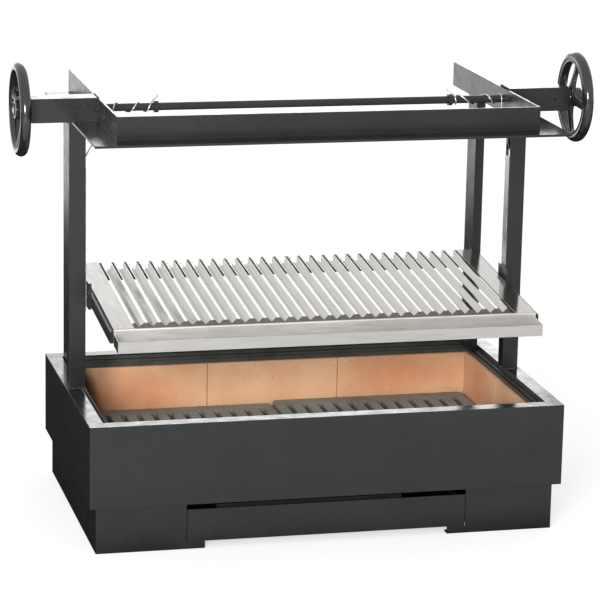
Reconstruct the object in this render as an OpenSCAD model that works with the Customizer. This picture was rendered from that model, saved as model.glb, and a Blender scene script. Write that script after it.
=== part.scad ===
// Built-in charcoal grill: a brick-lined fire box on a plinth, with a V-bar grill that
// two handwheels raise and lower on wire ropes. Millimetres, +Z up, front towards -Y.
// The origin lies on the floor, under the middle of the whole object's bounding box.

/* [Fire box] */
// Outer width of the fire box
box_w = 1000; // [900:10:1200]
// Outer depth of the fire box
box_d = 590; // [560:5:700]
// Height of the fire box above the plinth
box_h = 172; // [160:2:220]
// Sheet thickness of the fire box, plinth and drawer
sheet = 3; // [2:0.5:4]
// Width of the flat rim round the top
rim_w = 32; // [28:1:45]

/* [Plinth and ash drawer] */
// Height of the plinth
plinth_h = 100; // [90:1:140]
// How far the plinth stands in at the front and sides
plinth_inset = 15; // [5:1:40]
// Width of the ash drawer front
drawer_w = 592; // [500:2:640]
// Height of the finger slot above the drawer front
finger_slot = 16; // [12:1:22]
// Width of the cut-out under the drawer
notch_w = 516; // [400:2:560]
// Height of the cut-out under the drawer
notch_h = 15; // [10:1:25]
// Depth of the drawer, front to back
drawer_d = 420; // [300:10:480]

/* [Brick lining] */
// Thickness of the firebrick plates
brick_t = 30; // [24:1:36]
// Space behind the side bricks, outer face of the box to brick
side_space = 25; // [20:1:34]
// Space behind the front and back bricks
end_space = 35; // [28:1:45]
// Distance from the rim down to the top of the bricks
brick_drop = 22; // [16:1:30]
// Number of plates along the front and along the back
long_plates = 3; // [2:1:5]
// Number of plates along each side
side_plates = 2; // [1:1:4]

/* [Charcoal grates] */
// Thickness of the grates
grate_t = 24; // [16:1:30]
// Distance from the rim down to the top of the grates
grate_drop = 118; // [100:1:122]
// Distance from slot to slot
grate_pitch = 34.5; // [28:0.5:35]
// Width of a slot
grate_slot_w = 12; // [8:0.5:16]
// Solid margin at the front and back ends of the slots
grate_margin = 38; // [30:1:60]
// How far left of the middle the two grates meet
grate_shift = 4; // [0:0.5:4]
// How much higher the right grate lies on its rails
grate_step = 6; // [0:0.5:8]

/* [Uprights and top frame] */
// Height of the underside of the top frame above the floor
frame_z = 840; // [780:5:900]
// Height of the top frame's walls
wall_h = 53; // [45:1:60]
// Width of the flange outside the walls
flange_w = 52; // [50:1:60]
// Steel thickness of the top frame
frame_t = 5; // [4:0.5:6]
// How far the side walls reach behind the fire box
frame_reach = 58; // [0:1:80]
// Width of a front guide post
post_w = 35; // [30:1:38]
// Depth of a front guide post
post_d = 30; // [20:1:34]
// Wall of a front guide post
post_wall = 2; // [1.5:0.5:3]
// Front face of the guide posts, behind the middle of the box
post_y = 3; // [0:1:10]
// Depth of a rear upright, a flat tube
rear_bar_d = 60; // [40:1:70]
// Width of a rear upright
rear_bar_t = 20; // [12:1:24]

/* [Winch] */
// Diameter of the winch shaft
shaft_d = 16; // [14:1:20]
// Distance of the shaft axis in front of the middle of the box
shaft_y = 5; // [4:1:6]
// Side of the square tubes that carry the shaft
housing_side = 50; // [46:1:56]
// Wall of those tubes
housing_wall = 3; // [2:0.5:4]
// Length of those tubes, outward from the top frame's walls
housing_len = 138; // [120:1:140]
// Diameter of the circle through the middle of the handwheel rims
wheel_d = 168; // [150:2:200]
// Thickness of the handwheel rims
wheel_rim_t = 24; // [18:1:26]
// Diameter of the wire rope
rope_d = 3; // [2.5:0.5:4]

/* [Grill] */
// Slope of the grill down to the front, in degrees
incline = 5; // [3:0.5:6]
// Height of the grill's front edge above the floor
grill_z = 461.5; // [440:0.5:480]
// How far the grill's front edge stands in from the front of the fire box
grill_inset = 44; // [40:1:50]
// Length of the grill along its slope
grill_len = 438; // [400:1:440]
// Distance from bar to bar
bar_pitch = 27.5; // [24:0.5:32]
// Gap between two bars
bar_gap = 4.5; // [4:0.5:8]
// Sheet thickness of the V bars
bar_t = 1.5; // [1:0.1:2]
// Width of the gutter across the front of the grill
gutter_w = 40; // [34:1:50]
// Sheet thickness of the borders, gutter and grease tray
steel_t = 2; // [1.5:0.5:2.5]

/* [Lifting carriage] */
// Side of the square tubes under the grill
arm_side = 25; // [20:1:25]
// Wall of those tubes
arm_wall = 2; // [1.5:0.5:3]
// Length of the sliders in the guide posts
slider_len = 304; // [200:2:310]
// Depth of the grease tray's front trough
trough_d = 50; // [40:1:60]
// Height of the grease tray's walls
trough_h = 24; // [24:1:28]
// Length of the tray's tongue under the gutter
tongue_len = 90; // [60:1:110]

/* [Hidden] */

// Colours
paint = [0.23, 0.24, 0.23];
stainless = [0.78, 0.77, 0.74];
brick_colour = [0.84, 0.62, 0.47];
iron = [0.42, 0.42, 0.40];
gloss_black = [0.06, 0.06, 0.06];
bright_steel = [0.72, 0.73, 0.74];
bronze = [0.62, 0.47, 0.28];

// Clearances
slide_gap = 0.4;
run_gap = 0.05;
seat_gap = 0.3;
brick_joint = 1;

// Fire box and plinth
fold_w = 20;
fold_gap = 5;
rim_z = plinth_h + box_h;
fire_w = box_w - 2 * (brick_t + side_space);
fire_d = box_d - 2 * (brick_t + end_space);
brick_top = rim_z - brick_drop;
floor_z = plinth_h + sheet;
grate_top = rim_z - grate_drop;
grate_bottom = grate_top - grate_t;
grate_d = fire_d - 4;
grate_w = fire_w / 2 - 7;
grate_in = 2;
grate_edge = 29;
grate_slots = floor((grate_w - 2 * grate_edge) / grate_pitch) + 1;
grate_side = (grate_w - (grate_slots - 1) * grate_pitch) / 2;
ash_ledge = 60;
ash_hole_w = drawer_w - ash_ledge;
ash_hole_d = fire_d - 2 * ash_ledge;
rail_w = 16;
drawer_top = plinth_h - finger_slot;
plinth_front = -box_d / 2 + plinth_inset;
tub_w = drawer_w - 14;
tub_wall = 2;
tub_drop = 8;
pull_half = 197;
pull_shift = -35;
pull_w = 14;
pull_t = 2;
runner_t = 3;
runner_foot = 24;
runner_h = 30;
runner_set_back = 24;
tub_z = notch_h + runner_t;

// Retaining frame over the bricks, a stepped fold
lip_in = 8;
lip_h = 8;
lip_t = 2;
step_w = 13;
step_drop = 10;
step_lap = 6;

// Top frame
wall_half = box_w / 2 - 61;
front_wall_y = box_d / 2 - 50;
frame_back_y = box_d / 2 + frame_reach;
frame_half = wall_half + flange_w;
flange_top = frame_z + frame_t;
wall_top = frame_z + wall_h;
frame_front = front_wall_y + flange_w;
post_over = 3;
post_out = frame_half + post_over;
post_in = post_out - post_w;
rear_bar_out = box_w / 2 - rim_w - 3.5;
rear_bar_y = box_d / 2 - rim_w - rear_bar_d;

// Winch
shaft_z = flange_top + housing_side / 2;
housing_end = wall_half + housing_len;
end_plate = 4;
bush_wall = 3;
bush_r = shaft_d / 2 + bush_wall;
bush_flange = 2;
outer_bush_len = 14;
collar_w = 8;
hub_in = housing_end + 1;
hub_len = 18;
hub_r = 20;
hub_cup_len = 12;
hub_cup_r = 13;
hub_bore_r = 6;
nut_h = 8;
washer_t = 2;
wheel_x = housing_end + 17;
spoke_angles = [80, 170, 260, 350];
spoke_in_r = 9;
spoke_out_r = 7;
spoke_sink = 6;
rim_lip_r = 3;
rim_lip_out = 4;
nut_r = 10;
washer_r = 11;
wind_r = shaft_d / 2 + rope_d / 2 + run_gap;
anchor_r = shaft_d / 2 + 4;
anchor_w = 9;
anchor_gap = 2.5;
brake_reach = 107;
brake_x = wall_half + brake_reach;
brake_pad_w = 16;
brake_pad_t = 6;
brake_screw_r = 3;

// Grill and what carries it
grill_y = box_d / 2 - grill_inset;
grill_half = wall_half + 5;
border_w = 41.5;
bars = floor((2 * (grill_half - border_w) - bar_gap) / bar_pitch);
bar_w = bar_pitch - bar_gap;
bar_depth = bar_w / 2;
tab_slit = 5;
bars_half = (bars * bar_pitch + bar_gap) / 2;
fold_h = 5;
strip_t = 3;
strip_h = 29;
comb_drop = 1;
arm_top = -fold_h;
arm_bottom = arm_top - arm_side;
plate_t = 6;
plate_out = post_in - 1.5;
arm_out = plate_out - plate_t;
arm_in = arm_out - arm_side;
plug_len = 8;
arm_front = steel_t + seat_gap;
cross_drop = 6;
cross_top = -bar_depth - cross_drop;
cross_clear = 3;
cross_half = rear_bar_out - rear_bar_t - cross_clear;
cross_y = grill_len + seat_gap;
gutter_h = 26;
gutter_wall_h = 28;
hem_d = 5;
drain_d = 8;
drains = 7;
tray_top = -9.4;
tray_bottom = tray_top - trough_h;
tongue_half = arm_in - 8;
tray_runner_t = 2;
tray_runner_w = 14;
tray_runner_y = arm_front + 4;
tongue_rise = 4.5;
slider_y = post_y + post_d / 2;
arm_under = grill_z + (grill_y + slider_y) * tan(incline) + arm_bottom / cos(incline);
slider_z = arm_under - 16.5;
slider_in = plate_out;
slider_top = slider_z + slider_len;
plate_front = 26;
plate_back = post_y + post_d - 1;
plate_h = 56;
plate_low = slider_z + 10;
plate_high = plate_low + plate_h;
bolt_d = 6;
bolt_head_r = 5.6;
bolt_head_h = 2.6;
bolt_socket_r = 2.3;
bolt_socket_h = 1.6;
bolt_reach = 17;
bolt_pitch = 14;
bolt_z = plate_high - 11;
ferrule_len = 13;
ferrule_r = 3.2;
ferrule_x = slider_in + 5;

// The whole object is centred on its own bounding box, front to back
tray_front = -grill_y - trough_d * cos(incline) - tray_top * sin(incline);
origin_y = (frame_back_y + min(tray_front, -frame_front, -box_d / 2)) / 2;

// Rope on the shaft: [turns from the anchor, distance in from the top frame's wall] for
// each side, counted from the top of the shaft towards the front
wind_right = [[0, 113], [1, 104], [1.5, 70], [2, 43], [2.5, 23], [3, 10], [3.1, 9], [3.25, 9]];
wind_left = [[0, 116], [1, 87], [1.5, 66], [2, 39], [2.5, 29], [3, 12], [3.1, 9], [3.25, 9]];
wind_turns = 3.25;
rings_per_turn = 24;
rope_sides = 6;
run_sides = 8;
rope_leave_x = wall_half - 9;

// Loose tail before the first turn: distance in from where the turns start, distance
// behind the shaft axis, and height above the rope's circle
tail_points = [[14, 9, 12], [9, 7.5, 7], [4, 5.5, 4.2], [1.5, 3.2, 1.8]];

// Free rope from the shaft to the ferrule: distance out from the top frame's wall,
// distance behind the shaft axis, and share of the drop
free_drop = shaft_z - slider_top - ferrule_len;
run_points = [[-9, -wind_r, 0.14], [-9, -wind_r, 0.245], [-8, -9, 0.315], [-5, -7, 0.4],
    [-0.5, -4, 0.505], [4.5, 1, 0.61], [10, 7, 0.72], [15.5, 13.5, 0.835], [19.5, 19, 0.92],
    [22, 22.2, 0.965]];

module placed() {
    translate([0, -origin_y, 0]) children();
}

// Runs a child for the left side (-1) or the right side (1)
module side(s) {
    if (s < 0) mirror([1, 0, 0]) children();
    else children();
}

module block(x0, x1, y0, y1, z0, z1) {
    translate([x0, y0, z0]) cube([x1 - x0, y1 - y0, z1 - z0]);
}

// A cylinder along X from x0 to x1
module bar_x(x0, x1, r, segments = 48) {
    translate([x0, 0, 0]) rotate([0, 90, 0]) cylinder(h = x1 - x0, r = r, $fn = segments);
}

// A flat rectangular ring between two rectangles of half sizes, from z0 to z1
module ring(hx_out, hy_out, hx_in, hy_in, z0, z1) {
    difference() {
        block(-hx_out, hx_out, -hy_out, hy_out, z0, z1);
        block(-hx_in, hx_in, -hy_in, hy_in, z0 - 1, z1 + 1);
    }
}

// Plinth and drawer

module plinth() {
    half = box_w / 2 - plinth_inset;
    back = box_d / 2;
    opening_half = drawer_w / 2 + 1;
    color(paint) placed() difference() {
        union() {
            difference() {
                block(-half, half, plinth_front, back, 0, plinth_h);
                block(-half + sheet, half - sheet, plinth_front + sheet, back - sheet, -1, plinth_h + 1);
            }
            foot_ring(half, back, 0);
            foot_ring(half, back, plinth_h - sheet);
        }
        block(-opening_half, opening_half, plinth_front - 1, plinth_front + fold_w + fold_gap,
            notch_h, plinth_h + 1);
        block(-notch_w / 2, notch_w / 2, plinth_front - 1, plinth_front + fold_w + fold_gap,
            -1, notch_h + 1);
    }
}

// A turned-in flange of the plinth
module foot_ring(half, back, z) {
    difference() {
        block(-half, half, plinth_front, back, z, z + sheet);
        block(-half + fold_w, half - fold_w, plinth_front + fold_w, back - fold_w, z - 1, z + sheet + 1);
    }
}

module drawer_runner(s) {
    guide_x = tub_w / 2 + slide_gap;
    y0 = plinth_front + runner_set_back;
    y1 = y0 + drawer_d;
    color(paint) placed() side(s) {
        block(guide_x, guide_x + runner_t, y0, y1, 0, tub_z + runner_h);
        block(guide_x - runner_foot, guide_x + 1, y0, y1, notch_h - seat_gap, tub_z - seat_gap);
    }
}

module drawer_front() {
    color(paint) placed()
        block(-drawer_w / 2, drawer_w / 2, plinth_front, plinth_front + sheet, notch_h + 0.5, drawer_top);
}

module drawer_tub() {
    y0 = plinth_front + sheet;
    y1 = y0 + drawer_d;
    half = tub_w / 2;
    color(paint) placed() difference() {
        block(-half, half, y0, y1, tub_z, drawer_top - tub_drop);
        block(-half + tub_wall, half - tub_wall, y0 + tub_wall, y1 - tub_wall,
            tub_z + tub_wall, drawer_top);
    }
}

// Folded strip behind the drawer front, for the fingers
module drawer_pull() {
    y0 = plinth_front + sheet;
    y1 = y0 + pull_w;
    z0 = drawer_top - tub_drop;
    color(paint) placed() translate([pull_shift, 0, 0]) {
        block(-pull_half, pull_half, y0, y1, z0, z0 + pull_t);
        block(-pull_half, pull_half, y1 - pull_t, y1, z0 + pull_t / 2, z0 + 6 * pull_t);
    }
}

// Fire box

module firebox_shell() {
    hx = box_w / 2;
    hy = box_d / 2;
    color(paint) placed() difference() {
        block(-hx, hx, -hy, hy, plinth_h, rim_z);
        block(-hx + sheet, hx - sheet, -hy + sheet, hy - sheet, floor_z, rim_z - sheet);
        block(-hx + rim_w, hx - rim_w, -hy + rim_w, hy - rim_w, rim_z - sheet - 1, rim_z + 1);
        block(-ash_hole_w / 2, ash_hole_w / 2, -ash_hole_d / 2, ash_hole_d / 2, plinth_h - 1, floor_z + 1);
    }
}

// Stepped sheet fold that closes the gap between the bricks and the rim
module brick_retaining_frame() {
    hx = box_w / 2 - rim_w;
    hy = box_d / 2 - rim_w;
    lip_x = fire_w / 2 + lip_in;
    lip_y = fire_d / 2 + lip_in;
    t = lip_t;
    step_z = rim_z - sheet - step_drop;
    web_out_x = hx + step_lap + t / 2 - step_w;
    web_out_y = hy + step_lap + t / 2 - step_w;
    color(paint) placed() {
        ring(lip_x + t, lip_y + t, lip_x, lip_y, brick_top, brick_top + lip_h);
        ring(web_out_x, web_out_y, lip_x + 1, lip_y + 1, brick_top, brick_top + t);
        ring(web_out_x, web_out_y, web_out_x - t, web_out_y - t, brick_top, step_z + t);
        ring(hx + step_lap, hy + step_lap, web_out_x - t, web_out_y - t, step_z, step_z + t);
        ring(hx + step_lap, hy + step_lap, hx + step_lap - t, hy + step_lap - t, step_z, rim_z - sheet);
    }
}

// A row of brick plates along X, with its inner face at y = 0 and growing to +y
module brick_row(length, count) {
    plate = (length - (count - 1) * brick_joint) / count;
    for (i = [0 : count - 1])
        translate([-length / 2 + i * (plate + brick_joint), 0, floor_z])
            cube([plate, brick_t, brick_top - floor_z]);
}

module firebricks_back() {
    color(brick_colour) placed() translate([0, fire_d / 2, 0])
        brick_row(fire_w, long_plates);
}

module firebricks_front() {
    color(brick_colour) placed() translate([0, -fire_d / 2, 0]) mirror([0, 1, 0])
        brick_row(fire_w, long_plates);
}

module firebricks_side(s) {
    color(brick_colour) placed() side(s) translate([fire_w / 2, 0, 0]) rotate([0, 0, -90])
        brick_row(fire_d + 2 * brick_t, side_plates);
}

// Rails on the floor of the box that carry the grates
module grate_rails() {
    low = grate_bottom - seat_gap;
    color(paint) placed() {
        grate_rail(-fire_w / 2 + rail_w / 2, -fire_w / 2 + 1.5 * rail_w, low);
        grate_rail(-rail_w / 2, rail_w / 2, low);
        grate_rail(-grate_shift, rail_w / 2, low + grate_step);
        grate_rail(fire_w / 2 - 1.5 * rail_w, fire_w / 2 - rail_w / 2, low + grate_step);
    }
}

module grate_rail(x0, x1, top) {
    block(x0, x1, -fire_d / 2 + 2, fire_d / 2 - 2, floor_z, top);
}

// Cast charcoal grate with rounded corners and slots from front to back
module charcoal_grate(s) {
    corner = 12;
    x0 = grate_in;
    color(iron) placed() translate([-grate_shift, 0, s > 0 ? grate_step : 0]) side(s) difference() {
        translate([x0, -grate_d / 2, grate_bottom]) linear_extrude(grate_t)
            rounded_rectangle(grate_w, grate_d, corner);
        for (i = [0 : grate_slots - 1])
            translate([x0 + grate_side + i * grate_pitch, 0, grate_bottom - 1])
                linear_extrude(grate_t + 2)
                    translate([-grate_slot_w / 2, -grate_d / 2 + grate_margin])
                        square([grate_slot_w, grate_d - 2 * grate_margin]);
    }
}

module rounded_rectangle(w, d, r) {
    translate([r, 0]) square([w - 2 * r, d]);
    translate([0, r]) square([w, d - 2 * r]);
    for (x = [r, w - r], y = [r, d - r]) translate([x, y]) circle(r = r, $fn = 32);
}

// Uprights and top frame

// Channel-shaped guide post, open towards the middle
module guide_post(s) {
    color(paint) placed() side(s) difference() {
        block(post_in, post_out, post_y, post_y + post_d, rim_z, frame_z);
        block(post_in - 1, post_out - post_wall, post_y + post_wall, post_y + post_d - post_wall,
            rim_z - 1, frame_z + 1);
    }
}

// Flat tube that stands on the retaining frame's step, against the edge of the rim
module rear_upright(s) {
    foot_z = rim_z - sheet - step_drop + lip_t;
    color(paint) placed() side(s) difference() {
        block(rear_bar_out - rear_bar_t, rear_bar_out, rear_bar_y, rear_bar_y + rear_bar_d,
            foot_z, frame_z);
        block(rear_bar_out - rear_bar_t + post_wall, rear_bar_out - post_wall, rear_bar_y + post_wall,
            rear_bar_y + rear_bar_d - post_wall, foot_z - 1, frame_z + 1);
    }
}

module top_rail_front() {
    color(paint) placed() {
        block(-wall_half, wall_half, -front_wall_y, -front_wall_y + frame_t, frame_z, wall_top);
        linear_extrude_at(frame_z, frame_t)
            polygon([[-frame_half, -frame_front], [frame_half, -frame_front],
                [wall_half, -front_wall_y], [-wall_half, -front_wall_y]]);
    }
}

module linear_extrude_at(z, h) {
    translate([0, 0, z]) linear_extrude(h) children();
}

module top_rail_side(s) {
    color(paint) placed() side(s) difference() {
        union() {
            block(wall_half - frame_t, wall_half, -front_wall_y + frame_t, frame_back_y, frame_z, wall_top);
            linear_extrude_at(frame_z, frame_t)
                polygon([[wall_half, -front_wall_y], [frame_half, -frame_front],
                    [frame_half, frame_back_y], [wall_half, frame_back_y]]);
        }
        translate([0, -shaft_y, shaft_z]) bar_x(wall_half - frame_t - 1, wall_half + 1, bush_r, 64);
    }
}

// Square tube from the top frame's wall to the handwheel, with its end plate
module shaft_housing(s) {
    h = housing_side / 2;
    inner = h - housing_wall;
    color(paint) placed() side(s) translate([0, -shaft_y, shaft_z]) difference() {
        block(wall_half, housing_end, -h, h, -h, h);
        block(wall_half - 1, housing_end - end_plate, -inner, inner, -inner, inner);
        bar_x(housing_end - end_plate - 1, housing_end + 1, bush_r, 64);
        if (s > 0) translate([brake_x, -inner + 1, 0]) rotate([90, 0, 0])
            cylinder(h = housing_wall + 2, r = brake_screw_r, $fn = 32);
    }
}

// Flanged bushes in the walls of the top frame
module inner_bushes() {
    color(bronze) placed() for (s = [-1, 1]) side(s) translate([0, -shaft_y, shaft_z]) difference() {
        union() {
            bar_x(wall_half - frame_t, wall_half, bush_r, 64);
            bar_x(wall_half, wall_half + bush_flange, bush_r + 3, 64);
        }
        bar_x(wall_half - frame_t - 1, wall_half + bush_flange + 1, shaft_d / 2 + run_gap, 64);
    }
}

// Flanged bushes in the end plates of the square tubes
module outer_bushes() {
    x0 = housing_end - outer_bush_len;
    color(bronze) placed() for (s = [-1, 1]) side(s) translate([0, -shaft_y, shaft_z]) difference() {
        union() {
            bar_x(x0, housing_end - end_plate, bush_r + 3, 64);
            bar_x(housing_end - end_plate, housing_end, bush_r, 64);
        }
        bar_x(x0 - 1, housing_end + 1, shaft_d / 2 + run_gap, 64);
    }
}

// Screw in the front of the right tube that presses the brake pad on the shaft
module brake_screw() {
    sunk = 1;
    reach = housing_side / 2 - shaft_d / 2 - brake_pad_t - slide_gap;
    color(bright_steel) placed() translate([brake_x, -shaft_y - housing_side / 2 + sunk, shaft_z])
        rotate([-90, 0, 0]) difference() {
            cylinder(h = reach - sunk, r = brake_screw_r, $fn = 32);
            translate([0, 0, -1]) cylinder(h = 3, r = brake_screw_r / 2, $fn = 6);
        }
}

module brake_pad() {
    color(bronze) placed() translate([brake_x, -shaft_y, shaft_z]) difference() {
        block(-brake_pad_w / 2, brake_pad_w / 2, -shaft_d / 2 - brake_pad_t - slide_gap, -shaft_d / 4,
            -housing_side / 2 + housing_wall, housing_side / 2 - housing_wall);
        bar_x(-brake_pad_w, brake_pad_w, shaft_d / 2 + run_gap, 64);
    }
}

// Winch

module winch_shaft() {
    color(paint) placed() translate([0, -shaft_y, shaft_z]) {
        bar_x(-hub_in, hub_in, shaft_d / 2, 64);
        for (s = [-1, 1]) side(s) bar_x(hub_in, hub_in + hub_len + washer_t + nut_h, hub_bore_r, 48);
    }
}

// Dished handwheel: hub next to the housing, round rim further out
module handwheel(s) {
    rim_r = wheel_d / 2;
    spoke_x = hub_in + hub_len / 2;
    spoke_reach = rim_r - hub_r + spoke_sink;
    spoke_len = norm([spoke_reach, wheel_x - spoke_x]);
    dish = atan((wheel_x - spoke_x) / spoke_reach);
    color(gloss_black) placed() side(s) translate([0, -shaft_y, shaft_z]) {
        difference() {
            union() {
                translate([wheel_x, 0, 0]) rotate([0, 90, 0]) rotate_extrude($fn = 96) {
                    translate([rim_r, 0]) circle(r = wheel_rim_t / 2, $fn = 32);
                    translate([rim_r - wheel_rim_t / 2 - 1, -wheel_rim_t / 2 + rim_lip_out])
                        circle(r = rim_lip_r, $fn = 24);
                }
                bar_x(hub_in, hub_in + hub_len + hub_cup_len, hub_r);
                for (a = spoke_angles)
                    rotate([-a, 0, 0]) translate([spoke_x, -hub_r + spoke_sink, 0])
                        rotate([90, 0, 0]) rotate([0, dish, 0])
                            cylinder(h = spoke_len, r1 = spoke_in_r, r2 = spoke_out_r, $fn = 32);
            }
            bar_x(hub_in - 1, hub_in + hub_len + 1, hub_bore_r, 48);
            bar_x(hub_in + hub_len, hub_in + hub_len + hub_cup_len + 1, hub_cup_r, 64);
        }
    }
}

module wheel_washers() {
    x0 = hub_in + hub_len;
    color(bright_steel) placed() for (s = [-1, 1]) side(s) translate([0, -shaft_y, shaft_z]) difference() {
        bar_x(x0, x0 + washer_t, washer_r);
        bar_x(x0 - 1, x0 + washer_t + 1, hub_bore_r);
    }
}

module wheel_nuts() {
    x0 = hub_in + hub_len + washer_t;
    color(bright_steel) placed() for (s = [-1, 1]) side(s) translate([0, -shaft_y, shaft_z]) difference() {
        bar_x(x0, x0 + nut_h, nut_r, 6);
        bar_x(x0 - 1, x0 + nut_h + 1, hub_bore_r);
    }
}

// Collars inside the square tubes that keep the shaft from sliding sideways
module shaft_collars() {
    x0 = wall_half + bush_flange + seat_gap;
    color(bright_steel) placed() for (s = [-1, 1]) side(s) translate([0, -shaft_y, shaft_z]) difference() {
        bar_x(x0, x0 + collar_w, shaft_d / 2 + 5);
        bar_x(x0 - 1, x0 + collar_w + 1, shaft_d / 2, 64);
    }
}

// Clamp ring that grips the end of a rope
module rope_anchor(s) {
    table = s < 0 ? wind_left : wind_right;
    x1 = wall_half - table[0][1] - rope_d / 2 - anchor_gap;
    color(paint) placed() side(s) translate([0, -shaft_y, shaft_z]) difference() {
        bar_x(x1 - anchor_w, x1, anchor_r);
        bar_x(x1 - anchor_w - 1, x1 + 1, shaft_d / 2, 64);
    }
}

// Ring of points round a centre line point, in the plane square to the direction t
function unit(v) = v / norm(v);
function ring_points(p, t, r, sides) =
    let (b = unit([1, 0, 0] - t[0] * t), c = cross(t, b))
    [for (k = [0 : sides - 1]) p + r * (cos(360 * k / sides) * b + sin(360 * k / sides) * c)];

// Tube along a list of points, closed at both ends, all faces triangles
module tube_along(path, r, sides) {
    n = len(path);
    dirs = [for (i = [0 : n - 1]) unit(path[min(i + 1, n - 1)] - path[max(i - 1, 0)])];
    points = [for (i = [0 : n - 1]) each ring_points(path[i], dirs[i], r, sides)];
    walls = [for (i = [0 : n - 2], k = [0 : sides - 1])
        let (a = i * sides + k, b = i * sides + (k + 1) % sides)
        each [[a, a + sides, b], [b, a + sides, b + sides]]];
    first_cap = [for (k = [1 : sides - 2]) [0, k, k + 1]];
    last = (n - 1) * sides;
    last_cap = [for (k = [1 : sides - 2]) [last, last + k + 1, last + k]];
    polyhedron(points = points, faces = concat(walls, first_cap, last_cap), convexity = 8);
}

// Centre line of the rope on the shaft, from its loose tail to where it leaves downwards
function wind_point(table, turn) =
    [wall_half - lookup(turn, table), -wind_r * sin(360 * turn), wind_r * cos(360 * turn)];
function wind_path(table) = concat(
    [for (p = tail_points) [wall_half - table[0][1] - p[0], p[1], wind_r + p[2]]],
    [for (i = [0 : wind_turns * rings_per_turn]) wind_point(table, i / rings_per_turn)],
    [[rope_leave_x, -wind_r, -rope_d]]);

// Least distance between the rope's surface and itself one third of a turn or more away
function self_gap(path) = min([for (i = [0 : len(path) - 1], j = [i + rings_per_turn / 3 : len(path) - 1])
    norm(path[i] - path[j])]) - rope_d;
echo(rope_per_turn = 2 * PI * wind_r);
echo(rope_self_gap = [self_gap(wind_path(wind_left)), self_gap(wind_path(wind_right))]);

module rope_winding(s) {
    color(bright_steel) placed() side(s) translate([0, -shaft_y, shaft_z])
        tube_along(wind_path(s < 0 ? wind_left : wind_right), rope_d / 2, rope_sides);
}

module rope_run(s) {
    start = [rope_leave_x, -wind_r, -rope_d];
    path = [for (p = run_points) [wall_half + p[0], p[1], -p[2] * free_drop]];
    end = [ferrule_x, slider_y + shaft_y, -free_drop];
    color(bright_steel) placed() side(s) translate([0, -shaft_y, shaft_z])
        tube_along(concat([start], path, [end + [0, 0, rope_d / 2], end]), rope_d / 2, run_sides);
}

// Lifting carriage

module on_slope() {
    placed() translate([0, -grill_y, grill_z]) rotate([incline, 0, 0]) children();
}

module arm(s) {
    color(paint) on_slope() side(s) difference() {
        block(arm_in, arm_out, arm_front, cross_y, arm_bottom, arm_top);
        block(arm_in + arm_wall, arm_out - arm_wall, arm_front - 1, cross_y + 1,
            arm_bottom + arm_wall, arm_top - arm_wall);
    }
}

// Plugs in the ends of the arms and of the cross tube
module arm_end_caps() {
    color(paint) on_slope() for (s = [-1, 1]) side(s) {
        for (y = [arm_front, cross_y - plug_len])
            block(arm_in + arm_wall, arm_out - arm_wall, y, y + plug_len,
                arm_bottom + arm_wall, arm_top - arm_wall);
        block(cross_half - plug_len, cross_half, cross_y + arm_wall, cross_y + arm_side - arm_wall,
            cross_top - arm_side + arm_wall, cross_top - arm_wall);
    }
}

// Tube across the rear ends of the arms, behind the grill
module rear_cross_tube() {
    color(paint) on_slope() difference() {
        block(-cross_half, cross_half, cross_y, cross_y + arm_side, cross_top - arm_side, cross_top);
        block(-cross_half - 1, cross_half + 1, cross_y + arm_wall, cross_y + arm_side - arm_wall,
            cross_top - arm_side + arm_wall, cross_top - arm_wall);
    }
}

module carriage_plate(s) {
    color(paint) placed() side(s) difference() {
        block(arm_out, plate_out, -plate_front, plate_back, plate_low, plate_high);
        at_bolts() {
            bar_x(arm_out - 1, plate_out + 1, bolt_d / 2, 32);
            bolt_head();
        }
    }
}

// Long slider that runs in the channel of the guide post
module slider_bar(s) {
    color(bright_steel) placed() side(s) difference() {
        block(slider_in, post_out - post_wall - slide_gap, post_y + post_wall + slide_gap,
            post_y + post_d - post_wall - slide_gap, slider_z, slider_top);
        at_bolts() bar_x(slider_in - 1, slider_in + bolt_reach + 1, bolt_d / 2, 32);
    }
}

// Countersunk bolts with a hexagon socket, flush with the carriage plates
module carriage_bolts() {
    color(bright_steel) placed() for (s = [-1, 1]) side(s) at_bolts() difference() {
        union() {
            bolt_head();
            bar_x(arm_out + bolt_head_h, slider_in + bolt_reach, bolt_d / 2, 32);
        }
        bar_x(arm_out - 1, arm_out + bolt_socket_h, bolt_socket_r, 6);
    }
}

module bolt_head() {
    translate([arm_out, 0, 0]) rotate([0, 90, 0])
        cylinder(h = bolt_head_h, r1 = bolt_head_r, r2 = bolt_d / 2, $fn = 32);
}

module at_bolts() {
    for (y = [-bolt_pitch / 2, bolt_pitch / 2]) translate([0, slider_y + y, bolt_z]) children();
}

// Swaged sleeves that hold the rope ends on top of the sliders
module rope_ferrules() {
    color(bright_steel) placed() for (s = [-1, 1]) side(s)
        translate([ferrule_x, slider_y, slider_top]) cylinder(h = ferrule_len, r = ferrule_r, $fn = 32);
}

// Angle under each arm that the tongue of the grease tray slides on
module tray_runner(s) {
    y1 = tongue_len + 10;
    z0 = tray_bottom - seat_gap - tray_runner_t;
    color(paint) on_slope() side(s) {
        block(arm_in - tray_runner_t, arm_in, tray_runner_y, y1, z0, arm_bottom + arm_side / 2);
        block(tongue_half - tray_runner_w, arm_in - tray_runner_t / 2, tray_runner_y, y1,
            z0, z0 + tray_runner_t);
    }
}

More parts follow.
